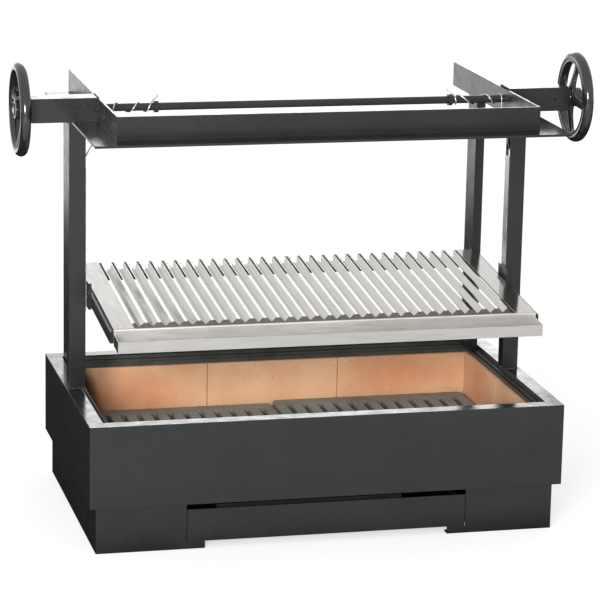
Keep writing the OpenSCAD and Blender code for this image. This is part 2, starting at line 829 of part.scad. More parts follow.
module grease_tray() {
    t = steel_t;
    y0 = -trough_d;
    y1 = -seat_gap;
    tongue_top = tray_bottom + tongue_rise;
    color(stainless) on_slope() difference() {
        union() {
            block(-grill_half, grill_half, y0, y1, tray_bottom, tray_top);
            block(-tongue_half, tongue_half, y1 - 1, tongue_len, tray_bottom, tongue_top);
        }
        block(-grill_half + t, grill_half - t, y0 + t, y1 + 1, tongue_top, tray_top + 1);
        block(-grill_half + t, grill_half - t, y0 + t, y1 - t, tray_bottom + t, tongue_top + 1);
        block(-tongue_half + t, tongue_half - t, y0 + t, tongue_len - t, tray_bottom + t, tongue_top + 1);
    }
}

// Grill

module grill_border(s) {
    color(stainless) on_slope() side(s) {
        block(bars_half, grill_half, hem_d, grill_len, -steel_t, 0);
        block(grill_half - steel_t, grill_half, hem_d, grill_len, -fold_h, 0);
    }
}

// Open-topped V bars, side by side, each with a tab folded up across its rear end
module v_bars() {
    inner = bar_t * sqrt(2);
    bar_front = gutter_w - steel_t;
    color(stainless) on_slope() {
        each_bar(bar_front, grill_len)
            polygon([[-bar_w / 2, 0], [0, -bar_depth], [bar_w / 2, 0],
                [bar_w / 2 - inner, 0], [0, -bar_depth + inner], [-bar_w / 2 + inner, 0]]);
        each_bar(grill_len - bar_t, grill_len)
            polygon([[tab_slit - bar_w / 2, 0], [0, -bar_depth + inner / 2], [bar_w / 2 - inner / 2, 0]]);
    }
}

// A profile drawn across each bar, from y0 to y1 along it
module each_bar(y0, y1) {
    for (i = [0 : bars - 1])
        translate([(i - (bars - 1) / 2) * bar_pitch, y1, 0]) rotate([90, 0, 0])
            linear_extrude(y1 - y0) children();
}

// Room for the bars in the plates that carry their ends
module bar_notches(y0, y1) {
    each_bar(y0, y1)
        polygon([[-bar_w / 2, 0], [0, -bar_depth], [bar_w / 2, 0], [bar_w / 2, 1], [-bar_w / 2, 1]]);
}

// Trough across the front ends of the bars, with drain holes
module grill_gutter() {
    t = steel_t;
    color(stainless) on_slope() difference() {
        union() {
            block(-bars_half, bars_half, t, gutter_w, -gutter_h, -gutter_h + t);
            block(-bars_half, bars_half, gutter_w - t, gutter_w, -gutter_h, -comb_drop);
            for (s = [-1, 1]) side(s)
                block(bars_half - t, bars_half, t, gutter_w, -gutter_h, -hem_d - seat_gap);
        }
        bar_notches(gutter_w - t - 1, gutter_w + 1);
        for (i = [0 : drains - 1])
            translate([(i - (drains - 1) / 2) * bars_half * 2 / drains, gutter_w / 2, -gutter_h - 1])
                cylinder(h = t + 2, r = drain_d / 2, $fn = 32);
    }
}

// Front plate of the gutter, rolled over along its top edge
module gutter_front() {
    color(stainless) on_slope() {
        block(-grill_half, grill_half, 0, steel_t, -gutter_wall_h, -steel_t);
        translate([0, hem_d / 2, -hem_d / 2]) bar_x(-grill_half, grill_half, hem_d / 2, 32);
    }
}

// Upright plate that holds the rear ends of the bars
module grill_rear_strip() {
    end = arm_in - 2;
    color(stainless) on_slope() difference() {
        union() {
            block(-bars_half, bars_half, grill_len - strip_t, grill_len, -strip_h, -comb_drop);
            block(-end, end, grill_len - strip_t, grill_len, -strip_h, -steel_t);
        }
        bar_notches(grill_len - strip_t - 1, grill_len + 1);
    }
}

plinth();
drawer_runner(-1);  // drawer_runner_left
drawer_runner(1);  // drawer_runner_right
firebox_shell();
brick_retaining_frame();
firebricks_back();
firebricks_front();
firebricks_side(-1);  // firebricks_left
firebricks_side(1);  // firebricks_right
grate_rails();
guide_post(-1);  // guide_post_left
guide_post(1);  // guide_post_right
rear_upright(-1);  // rear_upright_left
rear_upright(1);  // rear_upright_right
top_rail_front();
top_rail_side(-1);  // top_rail_left
top_rail_side(1);  // top_rail_right
shaft_housing(-1);  // shaft_housing_left
shaft_housing(1);  // shaft_housing_right
inner_bushes();
outer_bushes();
brake_screw();
brake_pad();
rope_run(-1);  // rope_run_left
rope_run(1);  // rope_run_right
winch_shaft();
handwheel(-1);  // handwheel_left
handwheel(1);  // handwheel_right
wheel_nuts();
wheel_washers();
shaft_collars();
rope_anchor(-1);  // rope_anchor_left
rope_anchor(1);  // rope_anchor_right
rope_winding(-1);  // rope_winding_left
rope_winding(1);  // rope_winding_right
arm(-1);  // arm_left
arm(1);  // arm_right
arm_end_caps();
rear_cross_tube();
carriage_plate(-1);  // carriage_plate_left
carriage_plate(1);  // carriage_plate_right
slider_bar(-1);  // slider_bar_left
slider_bar(1);  // slider_bar_right
carriage_bolts();
rope_ferrules();
tray_runner(-1);  // tray_runner_left
tray_runner(1);  // tray_runner_right
grill_border(-1);  // grill_border_left
grill_border(1);  // grill_border_right
v_bars();
grill_gutter();
gutter_front();
grill_rear_strip();
grease_tray();
drawer_front();
drawer_tub();
drawer_pull();
charcoal_grate(-1);  // charcoal_grate_left
charcoal_grate(1);  // charcoal_grate_right
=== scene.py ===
"""Built-in charcoal grill: finishes, ropes, handwheels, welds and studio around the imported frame."""

import math

import bmesh
import bpy
from mathutils import Matrix, Vector, noise


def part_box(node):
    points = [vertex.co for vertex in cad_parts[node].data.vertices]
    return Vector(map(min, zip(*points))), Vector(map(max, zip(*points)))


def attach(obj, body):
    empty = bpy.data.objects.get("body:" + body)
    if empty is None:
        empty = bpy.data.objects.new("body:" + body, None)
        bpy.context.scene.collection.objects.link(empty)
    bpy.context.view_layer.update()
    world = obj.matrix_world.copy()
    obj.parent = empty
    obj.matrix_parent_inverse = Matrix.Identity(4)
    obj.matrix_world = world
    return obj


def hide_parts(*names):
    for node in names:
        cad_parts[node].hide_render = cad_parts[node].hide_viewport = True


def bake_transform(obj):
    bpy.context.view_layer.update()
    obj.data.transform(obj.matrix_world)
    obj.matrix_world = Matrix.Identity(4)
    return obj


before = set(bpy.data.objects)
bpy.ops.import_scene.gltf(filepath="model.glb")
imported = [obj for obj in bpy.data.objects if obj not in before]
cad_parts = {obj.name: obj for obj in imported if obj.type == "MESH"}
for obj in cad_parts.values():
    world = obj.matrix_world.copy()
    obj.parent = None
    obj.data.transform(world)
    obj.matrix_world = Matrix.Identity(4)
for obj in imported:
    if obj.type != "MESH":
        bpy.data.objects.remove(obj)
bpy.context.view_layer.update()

# Places worked out from the frame, in metres
SHAFT_LOW, SHAFT_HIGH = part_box("winch_shaft")
SHAFT_Y = (SHAFT_LOW.y + SHAFT_HIGH.y) / 2
SHAFT_Z = (SHAFT_LOW.z + SHAFT_HIGH.z) / 2
SHAFT_R = (SHAFT_HIGH.z - SHAFT_LOW.z) / 2
RIM_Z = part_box("firebox_shell")[1].z
BRICK_LOW, BRICK_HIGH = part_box("firebricks_back")
GRATE_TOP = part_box("charcoal_grate_right")[1].z
PLINTH_LOW, PLINTH_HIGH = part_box("plinth")
SIDES = ((-1, "left"), (1, "right"))


# Node helpers

def start_material(name):
    material = bpy.data.materials.new(name)
    material.use_nodes = True
    tree = material.node_tree
    return material, tree, tree.nodes["Principled BSDF"]


def link(tree, source, target):
    tree.links.new(source, target)


def object_coords(tree, scale=(1, 1, 1)):
    """Object coordinates, stretched by scale along X, Y and Z."""
    coords = tree.nodes.new("ShaderNodeTexCoord")
    mapping = tree.nodes.new("ShaderNodeMapping")
    mapping.inputs["Scale"].default_value = scale
    link(tree, coords.outputs["Object"], mapping.inputs["Vector"])
    return mapping.outputs["Vector"]


def noise_field(tree, vector, scale, detail=3.0, roughness=0.5):
    field = tree.nodes.new("ShaderNodeTexNoise")
    field.inputs["Scale"].default_value = scale
    field.inputs["Detail"].default_value = detail
    field.inputs["Roughness"].default_value = roughness
    link(tree, vector, field.inputs["Vector"])
    return field.outputs["Fac"]


def colour_ramp(tree, factor, stops):
    """stops is a list of (position, (r, g, b)) in rising order."""
    ramp = tree.nodes.new("ShaderNodeValToRGB")
    elements = ramp.color_ramp.elements
    while len(elements) < len(stops):
        elements.new(0.5)
    for element, (position, colour) in zip(elements, stops):
        element.position = position
        element.color = (*colour, 1)
    link(tree, factor, ramp.inputs["Fac"])
    return ramp.outputs["Color"]


def remap(tree, value, low, high, to_low, to_high):
    node = tree.nodes.new("ShaderNodeMapRange")
    node.inputs["From Min"].default_value = low
    node.inputs["From Max"].default_value = high
    node.inputs["To Min"].default_value = to_low
    node.inputs["To Max"].default_value = to_high
    link(tree, value, node.inputs["Value"])
    return node.outputs["Result"]


def tint(tree, factor, first, colour):
    """The colour socket first, turned to an (r, g, b) colour where factor is 1."""
    node = tree.nodes.new("ShaderNodeMix")
    node.data_type = "RGBA"
    link(tree, factor, node.inputs["Factor"])
    link(tree, first, node.inputs["A"])
    node.inputs["B"].default_value = (*colour, 1)
    return node.outputs["Result"]


def arithmetic(tree, operation, first, second=0):
    """One math node. Both values may be sockets or plain numbers."""
    node = tree.nodes.new("ShaderNodeMath")
    node.operation = operation
    for socket, value in zip(node.inputs, (first, second)):
        if isinstance(value, (int, float)):
            socket.default_value = value
        else:
            link(tree, value, socket)
    return node.outputs["Value"]


def bump(tree, shader, height, strength, distance):
    node = tree.nodes.new("ShaderNodeBump")
    node.inputs["Strength"].default_value = strength
    node.inputs["Distance"].default_value = distance
    link(tree, height, node.inputs["Height"])
    link(tree, node.outputs["Normal"], shader.inputs["Normal"])


def near(tree, vector, centre, half):
    """1 at centre, falling to 0 on the ellipsoid of half sizes half."""
    mapping = tree.nodes.new("ShaderNodeMapping")
    mapping.vector_type = "TEXTURE"
    mapping.inputs["Location"].default_value = centre
    mapping.inputs["Scale"].default_value = half
    link(tree, vector, mapping.inputs["Vector"])
    length = tree.nodes.new("ShaderNodeVectorMath")
    length.operation = "LENGTH"
    link(tree, mapping.outputs["Vector"], length.inputs[0])
    return remap(tree, length.outputs["Value"], 0.25, 1, 1, 0)


def split_axes(tree, vector):
    node = tree.nodes.new("ShaderNodeSeparateXYZ")
    link(tree, vector, node.inputs["Vector"])
    return node.outputs["X"], node.outputs["Y"], node.outputs["Z"]


def within(tree, vector, low, high):
    """1 inside an upright box seen from above, 0 outside it."""
    x, y, _ = split_axes(tree, vector)
    inside = 1
    for axis, a, b in ((x, low.x, high.x), (y, low.y, high.y)):
        offset = arithmetic(tree, "ABSOLUTE", arithmetic(tree, "SUBTRACT", axis, (a + b) / 2))
        inside = arithmetic(tree, "MULTIPLY", arithmetic(tree, "LESS_THAN", offset, (b - a) / 2), inside)
    return inside


# Materials

def stove_paint():
    """Satin anthracite paint on folded sheet steel, glossier on level faces."""
    material, tree, shader = start_material("stove_paint")
    coords = object_coords(tree)
    patches = noise_field(tree, coords, 9, 4)
    dark = (0.0075, 0.009, 0.0085)
    light = (0.0105, 0.0122, 0.0115)
    link(tree, colour_ramp(tree, patches, [(0.3, dark), (0.7, light)]), shader.inputs["Base Color"])
    level = split_axes(tree, tree.nodes.new("ShaderNodeNewGeometry").outputs["Normal"])[2]
    gloss = remap(tree, level, 0.9, 1, 0, 0.11)
    satin = remap(tree, noise_field(tree, coords, 34, 5), 0.3, 0.7, 0.25, 0.36)
    link(tree, arithmetic(tree, "SUBTRACT", satin, gloss), shader.inputs["Roughness"])
    shader.inputs["IOR"].default_value = 1.47
    bump(tree, shader, noise_field(tree, coords, 520, 2), 0.10, 0.0004)
    return material


def sooty_paint():
    """The same paint where it has been near the fire: duller and dusty."""
    material, tree, shader = start_material("sooty_paint")
    coords = object_coords(tree)
    dust = noise_field(tree, coords, 22, 6, 0.65)
    dark = (0.020, 0.021, 0.018)
    light = (0.050, 0.050, 0.044)
    link(tree, colour_ramp(tree, dust, [(0.35, dark), (0.75, light)]), shader.inputs["Base Color"])
    link(tree, remap(tree, dust, 0.3, 0.7, 0.42, 0.62), shader.inputs["Roughness"])
    shader.inputs["IOR"].default_value = 1.6
    bump(tree, shader, noise_field(tree, coords, 300, 4), 0.25, 0.0005)
    return material


def stainless(name, stretch, rough_low, rough_high, tone):
    """Brushed stainless steel. stretch is large across the brush lines and small along them."""
    material, tree, shader = start_material(name)
    streaks = noise_field(tree, object_coords(tree, stretch), 12, 5, 0.6)
    clouds = noise_field(tree, object_coords(tree), 5, 3)
    both = arithmetic(tree, "ADD", arithmetic(tree, "MULTIPLY", streaks, 0.6),
        arithmetic(tree, "MULTIPLY", clouds, 0.4))
    light = tuple(tone * c for c in (0.70, 0.685, 0.655))
    dark = tuple(tone * c for c in (0.60, 0.588, 0.560))
    link(tree, colour_ramp(tree, both, [(0.35, dark), (0.65, light)]), shader.inputs["Base Color"])
    link(tree, remap(tree, both, 0.3, 0.7, rough_low, rough_high), shader.inputs["Roughness"])
    shader.inputs["Metallic"].default_value = 1
    bump(tree, shader, streaks, 0.12, 0.0003)
    return material


def firebrick():
    """Salmon firebrick with scorch marks, pits painted darker as shade, pale grains, and a painted shadow
    at the left end.
    """
    material, tree, shader = start_material("firebrick")
    coords = object_coords(tree)
    tone = noise_field(tree, coords, 7, 6, 0.6)
    colour = colour_ramp(tree, tone, [(0.3, (0.56, 0.30, 0.165)), (0.5, (0.64, 0.36, 0.20)),
        (0.72, (0.70, 0.43, 0.26))])

    # Scorch marks, each a place and its half sizes
    wall_y = BRICK_LOW.y
    mid_z = (GRATE_TOP + BRICK_HIGH.z) / 2
    scorch = [
        ((-0.34, wall_y, mid_z - 0.03), (0.17, 0.10, 0.075)),
        ((0.285, wall_y, mid_z), (0.15, 0.10, 0.060)),
        ((0.445, wall_y - 0.11, mid_z), (0.05, 0.10, 0.07)),
        ((-0.10, -0.25, mid_z), (0.20, 0.08, 0.05)),
        ((-0.445, -0.05, mid_z), (0.05, 0.12, 0.06)),
    ]
    ragged = remap(tree, noise_field(tree, coords, 16, 6, 0.7), 0.32, 0.66, 0.35, 1)
    for centre, half in scorch:
        mask = arithmetic(tree, "MULTIPLY", near(tree, coords, centre, half), ragged)
        colour = tint(tree, arithmetic(tree, "MULTIPLY", mask, 0.85), colour, (0.56, 0.185, 0.075))

    # Pits and grains are the small middles of a few random cells
    cells = tree.nodes.new("ShaderNodeTexVoronoi")
    cells.inputs["Scale"].default_value = 150
    link(tree, coords, cells.inputs["Vector"])
    dots = remap(tree, cells.outputs["Distance"], 0.14, 0.26, 1, 0)
    pick = tree.nodes.new("ShaderNodeSeparateColor")
    link(tree, cells.outputs["Color"], pick.inputs["Color"])
    pitted = arithmetic(tree, "GREATER_THAN", pick.outputs["Red"], 0.93)
    grainy = arithmetic(tree, "GREATER_THAN", pick.outputs["Green"], 0.955)
    pits = arithmetic(tree, "MULTIPLY", dots, pitted)
    grains = arithmetic(tree, "MULTIPLY", dots, grainy)
    # The pits are painted darker: painted shade in their hollows
    colour = tint(tree, arithmetic(tree, "MULTIPLY", pits, 0.8), colour, (0.16, 0.085, 0.05))
    colour = tint(tree, arithmetic(tree, "MULTIPLY", grains, 0.9), colour, (0.83, 0.70, 0.55))

    # Painted shadow of the left wall on the bricks, with a slanting edge
    x, _, z = split_axes(tree, coords)
    below_top = arithmetic(tree, "SUBTRACT", z, BRICK_HIGH.z)
    slant = arithmetic(tree, "ADD", x, arithmetic(tree, "MULTIPLY", below_top, 0.28))
    painted_shadow = remap(tree, slant, BRICK_LOW.x + 0.018, BRICK_LOW.x + 0.040, 0.93, 0)
    colour = tint(tree, painted_shadow, colour, (0.035, 0.022, 0.014))

    link(tree, colour, shader.inputs["Base Color"])
    shader.inputs["Roughness"].default_value = 0.88
    height = arithmetic(tree, "SUBTRACT", noise_field(tree, coords, 260, 4, 0.6), pits)
    bump(tree, shader, height, 0.35, 0.0008)
    return material


def cast_iron():
    """Grey cast iron with a sandy skin and pale dust on top."""
    material, tree, shader = start_material("cast_iron")
    coords = object_coords(tree)
    skin = noise_field(tree, coords, 45, 6, 0.7)
    dust = noise_field(tree, coords, 8, 4)
    both = arithmetic(tree, "ADD", arithmetic(tree, "MULTIPLY", skin, 0.5),
        arithmetic(tree, "MULTIPLY", dust, 0.5))
    link(tree, colour_ramp(tree, both, [(0.34, (0.135, 0.150, 0.148)), (0.5, (0.21, 0.23, 0.225)),
        (0.68, (0.29, 0.315, 0.305))]), shader.inputs["Base Color"])
    link(tree, remap(tree, skin, 0.3, 0.7, 0.5, 0.72), shader.inputs["Roughness"])
    shader.inputs["Metallic"].default_value = 0.35
    bump(tree, shader, noise_field(tree, coords, 380, 4, 0.6), 0.5, 0.0006)
    return material


def gloss_black():
    """Glossy black phenolic moulding of the handwheels."""
    material, tree, shader = start_material("gloss_black")
    coords = object_coords(tree)
    clouds = noise_field(tree, coords, 12, 3)
    dark = (0.008, 0.009, 0.009)
    light = (0.014, 0.015, 0.015)
    link(tree, colour_ramp(tree, clouds, [(0.3, dark), (0.7, light)]), shader.inputs["Base Color"])
    smears = noise_field(tree, coords, 60, 4)
    link(tree, remap(tree, smears, 0.3, 0.7, 0.10, 0.17), shader.inputs["Roughness"])
    shader.inputs["IOR"].default_value = 1.6
    bump(tree, shader, noise_field(tree, coords, 90, 2), 0.03, 0.0004)
    return material


def plain_metal(name, dark, light, rough_low, rough_high, scale=60):
    """A metal with a mottled skin, for ropes, fasteners and bushes."""
    material, tree, shader = start_material(name)
    coords = object_coords(tree)
    field = noise_field(tree, coords, scale, 5, 0.6)
    link(tree, colour_ramp(tree, field, [(0.3, dark), (0.7, light)]), shader.inputs["Base Color"])
    link(tree, remap(tree, field, 0.3, 0.7, rough_low, rough_high), shader.inputs["Roughness"])
    shader.inputs["Metallic"].default_value = 1
    bump(tree, shader, noise_field(tree, coords, scale * 8, 2), 0.1, 0.0002)
    return material


def mix_shaders(tree, factor, first, second):
    node = tree.nodes.new("ShaderNodeMixShader")
    link(tree, factor, node.inputs["Fac"])
    link(tree, first, node.inputs[1])
    link(tree, second, node.inputs[2])
    return node.outputs["Shader"]


def glow(tree, strength):
    node = tree.nodes.new("ShaderNodeEmission")
    node.inputs["Strength"].default_value = strength
    return node.outputs["Emission"]


def matt(tree, grey):
    node = tree.nodes.new("ShaderNodeBsdfDiffuse")
    node.inputs["Color"].default_value = (grey, grey, grey, 1)
    return node.outputs["BSDF"]


# The floor in reflections: a grey or a glow for each band, and where along Y the bands meet
AHEAD_GREY = 0.66
AHEAD_BAND = (-0.45, -0.30)
BESIDE_GREY = 0.02
BEHIND_BAND = (2.9, 3.4)
BEHIND_GLOW = 1.55
# The floor in the camera's view: its own grey, the glow added to it, and how much of its shading
# the glow takes away
FLOOR_GREY = 0.87
VIEW_GLOW = 0.62
VIEW_COVER = 0.55
# How far in from the plinth's front the floor still glows
TOE_DEPTH = Vector((0, 0.07, 0))


def paper_floor():
    """White sweep under the object, dark beside it and bright far behind it in reflections."""
    material, tree, shader = start_material("pale_floor")
    shader.inputs["Base Color"].default_value = (FLOOR_GREY, FLOOR_GREY, FLOOR_GREY, 1)
    shader.inputs["Roughness"].default_value = 0.9
    coords = object_coords(tree)
    y = split_axes(tree, coords)[1]
    path = tree.nodes.new("ShaderNodeLightPath")
    seen = path.outputs["Is Camera Ray"]

    ahead = remap(tree, y, *AHEAD_BAND, 1, 0)
    behind = remap(tree, y, *BEHIND_BAND, 0, 1)
    close_by = mix_shaders(tree, ahead, matt(tree, BESIDE_GREY), matt(tree, AHEAD_GREY))
    reflected = mix_shaders(tree, behind, close_by, glow(tree, BEHIND_GLOW))
    lit = mix_shaders(tree, path.outputs["Is Glossy Ray"], shader.outputs["BSDF"], reflected)

    covered = arithmetic(tree, "MULTIPLY", seen, VIEW_COVER)
    shaded = mix_shaders(tree, covered, lit, glow(tree, 0))
    under = within(tree, coords, PLINTH_LOW + TOE_DEPTH, PLINTH_HIGH)
    open_view = arithmetic(tree, "SUBTRACT", seen, under)
    table = mix_shaders(tree, open_view, glow(tree, 0), glow(tree, VIEW_GLOW))
    both = tree.nodes.new("ShaderNodeAddShader")
    link(tree, shaded, both.inputs[0])
    link(tree, table, both.inputs[1])
    link(tree, both.outputs["Shader"], tree.nodes["Material Output"].inputs["Surface"])
    return material


# Brush lines that run front to back, and from left to right
BRUSHED_Y = (14, 1.2, 14)
BRUSHED_X = (1.2, 14, 14)

PAINT = stove_paint()
SOOTY = sooty_paint()
BAR_STEEL = stainless("bar_steel", BRUSHED_Y, 0.12, 0.20, 0.93)
# Rougher and much darker than the other steel: painted shade on the grill's rear strip
DULL_SHADE_PAINTED_STEEL = stainless("dull_steel_painted_shade", BRUSHED_X, 0.45, 0.60, 0.35)
SHEET_STEEL = stainless("sheet_steel", BRUSHED_X, 0.16, 0.26, 0.93)
# Rougher steel with a lighter colour than the rest: painted light on the gutter's front
ROUGH_LIGHT_PAINTED_STEEL = stainless("rough_steel_painted_light", BRUSHED_X, 0.42, 0.55, 1.12)
POLISHED = stainless("polished_steel", BRUSHED_Y, 0.08, 0.15, 0.95)
BRICK = firebrick()
IRON = cast_iron()
BLACK = gloss_black()
ROPE = plain_metal("wire_rope", (0.55, 0.55, 0.54), (0.80, 0.80, 0.78), 0.25, 0.4, 200)
ZINC = plain_metal("zinc_steel", (0.40, 0.40, 0.39), (0.62, 0.62, 0.60), 0.28, 0.42)
OXIDE = plain_metal("black_oxide", (0.020, 0.020, 0.020), (0.045, 0.044, 0.042), 0.35, 0.5)
BRONZE = plain_metal("bearing_bronze", (0.30, 0.18, 0.07), (0.48, 0.31, 0.14), 0.25, 0.4)

BRICK_NODES = ("firebricks_back", "firebricks_front", "firebricks_left", "firebricks_right")
GRATE_NODES = ("charcoal_grate_left", "charcoal_grate_right")
BORDER_NODES = ("grill_border_left", "grill_border_right")

# Every node that isn't painted like the frame
NODE_MATERIALS = (
    (BRICK, BRICK_NODES),
    (IRON, GRATE_NODES),
    (SOOTY, ("brick_retaining_frame", "grate_rails")),
    (BAR_STEEL, ("v_bars",)),
    (DULL_SHADE_PAINTED_STEEL, ("grill_rear_strip",)),
    (POLISHED, BORDER_NODES),
    (SHEET_STEEL, ("grill_gutter", "grease_tray")),
    (ROUGH_LIGHT_PAINTED_STEEL, ("gutter_front",)),
    (BLACK, ("handwheel_left", "handwheel_right")),
    (ROPE, ("rope_winding_left", "rope_winding_right", "rope_run_left", "rope_run_right")),
    (BRONZE, ("inner_bushes", "outer_bushes", "brake_pad")),
    (ZINC, ("shaft_collars", "slider_bar_left", "slider_bar_right", "rope_ferrules")),
    (OXIDE, ("brake_screw", "wheel_nuts", "wheel_washers", "carriage_bolts")),
)


def dress_nodes():
    chosen = {name: material for material, names in NODE_MATERIALS for name in names}
    for name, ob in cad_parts.items():
        ob.data.materials.clear()
        ob.data.materials.append(chosen.get(name, PAINT))


dress_nodes()


# Meshes for pieces that the frame doesn't hold

def add_piece(name, vertices, faces, material, body):
    """A smooth mesh in the frame's own coordinates. It rides on a body unless body is None."""
    mesh = bpy.data.meshes.new(name)
    mesh.from_pydata([tuple(v) for v in vertices], [], faces)
    mesh.validate()
    mesh.update()
    for polygon in mesh.polygons:
        polygon.use_smooth = True
    ob = bpy.data.objects.new(name, mesh)
    bpy.context.scene.collection.objects.link(ob)
    mesh.materials.append(material)
    if body:
        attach(ob, body)
    return ob


def bridge_rings(count, sides, closed=False):
    """Faces between rings of points, with caps unless the rings close on themselves."""
    faces = []
    for i in range(count if closed else count - 1):
        a, b = i * sides, ((i + 1) % count) * sides
        for k in range(sides):
            n = (k + 1) % sides
            faces.append((a + k, b + k, b + n, a + n))
    if not closed:
        faces.append(tuple(range(sides)))
        faces.append(tuple(reversed(range((count - 1) * sides, count * sides))))
    return faces


def resample(path, step):
    """Points step apart along a list of points."""
    out = [path[0].copy()]
    left = step
    for a, b in zip(path, path[1:]):
        length = (b - a).length
        while length > left:
            a = a + (b - a).normalized() * left
            out.append(a.copy())
            length = (b - a).length
            left = step
        left -= length
    out.append(path[-1].copy())
    return out


def through(points):
    """A smooth curve through given points."""
    per_span = 12
    ends = [2 * points[0] - points[1]] + points + [2 * points[-1] - points[-2]]
    out = []
    for p0, p1, p2, p3 in zip(ends, ends[1:], ends[2:], ends[3:]):
        for k in range(per_span):
            t = k / per_span
            out.append(0.5 * (2 * p1 + (p2 - p0) * t + (2 * p0 - 5 * p1 + 4 * p2 - p3) * t ** 2
                + (3 * p1 - p0 - 3 * p2 + p3) * t ** 3))
    return out + [points[-1]]


def sweep(path, sides, radius):
    """Rings round a path. radius(distance along, angle) gives each point's distance from it."""
    vertices = []
    ahead = (path[1] - path[0]).normalized()
    across = ahead.orthogonal().normalized()
    distance = 0
    for i, point in enumerate(path):
        ahead = (path[min(i + 1, len(path) - 1)] - path[max(i - 1, 0)]).normalized()
        across = (across - ahead * across.dot(ahead)).normalized()
        up = ahead.cross(across)
        if i:
            distance += (point - path[i - 1]).length
        for k in range(sides):
            angle = 2 * math.pi * k / sides
            outward = across * math.cos(angle) + up * math.sin(angle)
            vertices.append(point + outward * radius(distance, angle))
    return vertices


# Wire ropes, six strands each

ROPE_R = 0.0015
FERRULE_R = 0.0032
STRANDS = 6
# Sides of the mesh in each strand, and how deep the grooves between the strands are
STRAND_SIDES = 6
GROOVE = 0.20
# Length of one twist of the strands, and of one step of the mesh
ROPE_LAY = 0.019
ROPE_STEP = 0.0008
# Where the windings lie on the shaft, right (1) and left (-1): the turn, and the inset, which is the
# distance in from the square tube's inner end in millimetres
WIND_TABLES = {
    1: [(0, 113), (1, 104), (1.5, 70), (2, 43), (2.5, 23), (3, 10), (3.1, 9), (3.25, 9)],
    -1: [(0, 116), (1, 87), (1.5, 66), (2, 39), (2.5, 29), (3, 12), (3.1, 9), (3.25, 9)],
}
# Steps of the mesh in one turn, and how many of them to each side smooth the table
STEPS_PER_TURN = 72
SMOOTH_STEPS = 6
# The loose end, in millimetres: inward from the first turn, back, and up from the first turn
TAIL_POINTS = [(14, 9, 12), (9, 7.5, 7), (4, 5.5, 4.2), (1.5, 3.2, 1.8)]
# The free run: millimetres outward and back, and the share of the way down. None is the shaft's front
RUN_POINTS = [(-9, None, 0.14), (-9, None, 0.245), (-8, -9, 0.315), (-5, -7, 0.4), (-0.5, -4, 0.505),
    (4.5, 1, 0.61), (10, 7, 0.72), (15.5, 13.5, 0.835), (19.5, 19, 0.92), (22, 22.2, 0.965)]
# Where the two meet: the inset, and how far below the shaft's axis
LEAVE_INSET = 9
LEAVE_DROP = 2 * ROPE_R
SHAFT_GAP = 0.00005
WIND_R = SHAFT_R + ROPE_R + SHAFT_GAP
WALL_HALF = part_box("shaft_housing_right")[0].x
FERRULE_LOW, FERRULE_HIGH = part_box("rope_ferrules")


def stranded(distance, angle):
    """How far the rope's skin is from its middle."""
    turned = STRANDS * (angle / 2 + math.pi * distance / ROPE_LAY)
    return ROPE_R * (1 - GROOVE + GROOVE * abs(math.cos(turned)))


def table_value(table, turn):
    """The value at a turn, between the table's rows."""
    for (t0, v0), (t1, v1) in zip(table, table[1:]):
        if turn <= t1:
            return v0 + (v1 - v0) * (turn - t0) / (t1 - t0)
    return table[-1][1]


def on_shaft(s, inset, back, up):
    """A point by its inset in millimetres, and metres back and up from the shaft's axis."""
    return Vector((s * (WALL_HALF - inset / 1000), SHAFT_Y + back, SHAFT_Z + up))


def rope_winding(s):
    """Loose tail, then the turns, to the point where the rope leaves the shaft downwards."""
    table = WIND_TABLES[s]
    tail = [on_shaft(s, table[0][1] + x, back / 1000, WIND_R + up / 1000) for x, back, up in TAIL_POINTS]
    turns = []
    reach = range(-SMOOTH_STEPS, SMOOTH_STEPS + 1)
    for i in range(int(table[-1][0] * STEPS_PER_TURN) + 1):
        angle = 2 * math.pi * i / STEPS_PER_TURN
        inset = sum(table_value(table, max(0, i + k) / STEPS_PER_TURN) for k in reach) / len(reach)
        turns.append(on_shaft(s, inset, -WIND_R * math.sin(angle), WIND_R * math.cos(angle)))
    path = through(tail + turns[:1])[:-1] + turns + [on_shaft(s, LEAVE_INSET, -WIND_R, -LEAVE_DROP)]
    return resample(path, ROPE_STEP)


def rope_run(s):
    """From the shaft down to the ferrule on the slider."""
    drop = SHAFT_Z - FERRULE_HIGH.z
    points = [on_shaft(s, LEAVE_INSET, -WIND_R, -LEAVE_DROP)]
    for out, back, share in RUN_POINTS:
        back = -WIND_R if back is None else back / 1000
        points.append(on_shaft(s, -out, back, -share * drop))
    end = Vector((s * (FERRULE_HIGH.x - FERRULE_R), (FERRULE_LOW.y + FERRULE_HIGH.y) / 2, FERRULE_HIGH.z))
    sunk = 0.002
    points += [end + Vector((0, 0, ROPE_R)), end - Vector((0, 0, sunk))]
    return resample(through(points), ROPE_STEP)


def rope_piece(name, path, body):
    sides = STRAND_SIDES * STRANDS
    return add_piece(name, sweep(path, sides, stranded), bridge_rings(len(path), sides), ROPE, body)


def ropes():
    for s, side in SIDES:
        turns = rope_piece("stranded_winding_" + side, rope_winding(s), "windlass")
        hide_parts("rope_winding_" + side)
        run = rope_piece("stranded_run_" + side, rope_run(s), None)
        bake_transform(run)
        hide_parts("rope_run_" + side)


# Handwheels

# Half sizes of the rim's oval section, across the wheel's plane and in it, and of its inner lip
RIM_X = 0.0110
RIM_R = 0.0100
LIP_X = 0.0034
LIP_R = 0.0030
HUB_LEN = 0.030
HUB_R = 0.020
HUB_CUP_R = 0.013
HUB_CUP_CHAMFER = 0.0015
HUB_INNER_ROUND = 0.004
HUB_OUTER_ROUND = 0.003
BORE_R = 0.0062
SPOKE_ANGLES = (80, 170, 260, 350)
# Half width and half thickness of a spoke in its middle, how much more at the hub and at the rim
SPOKE_WIDE = (0.0086, 0.0050, 0.0085)
SPOKE_THICK = (0.0050, 0.0045, 0.0030)
